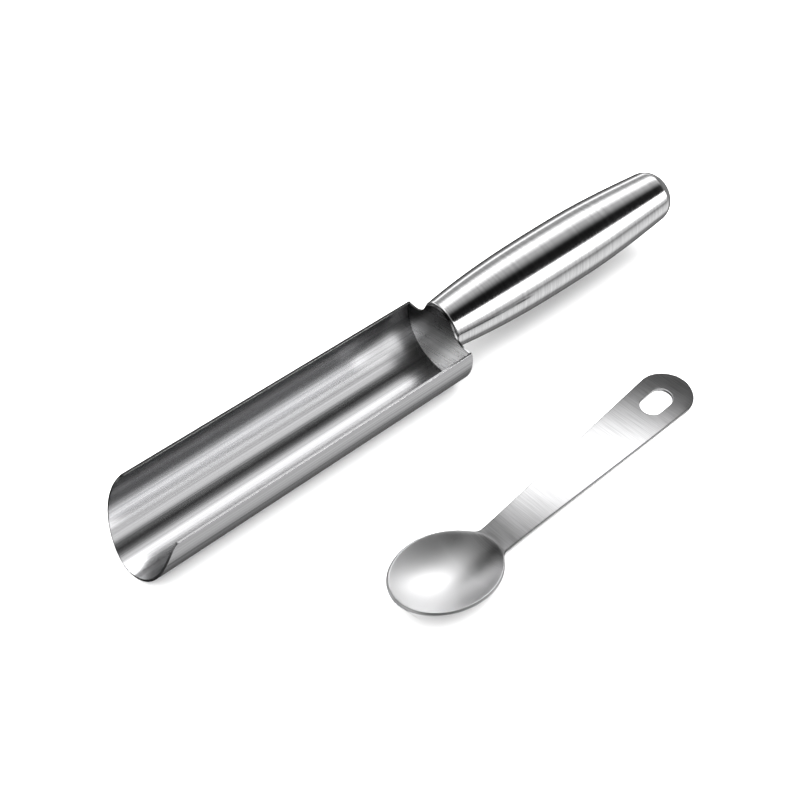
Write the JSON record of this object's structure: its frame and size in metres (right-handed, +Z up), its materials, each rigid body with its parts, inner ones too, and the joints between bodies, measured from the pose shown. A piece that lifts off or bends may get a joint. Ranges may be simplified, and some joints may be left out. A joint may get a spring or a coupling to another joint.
{
  "type": "meatball maker",
  "caption": "Stainless steel meatball maker: an open half-round trough with a raked lip and a hollow spindle handle, with a small loose measuring spoon.",
  "frame": {"origin": "on the resting surface, below the middle of the trough, on the lowest flat side of its wall", "axes": "+X from the open mouth of the trough towards the handle, +Z up out of the open trough, +Y across"},
  "size_m": [0.2663, 0.112, 0.0375],
  "materials": {
    "trough_steel": "stainless steel brushed along the trough",
    "plate_steel": "stainless steel brushed across the plate",
    "handle_steel": "stainless steel, bright, with a fine grain round the handle",
    "spoon_steel": "satin stainless steel brushed across the handle"
  },
  "bodies": {
    "scoop": {"trough_shell": "trough_steel", "end_plate": "plate_steel", "handle_shell": "handle_steel"},
    "spoon": {"spoon": "spoon_steel"}
  },
  "joints": [
    {"name": "spoon_lift", "type": "slide", "parent": "scoop", "child": "spoon", "axis": [0, 0, 1], "range_m": [0, 0.12]}
  ]
}
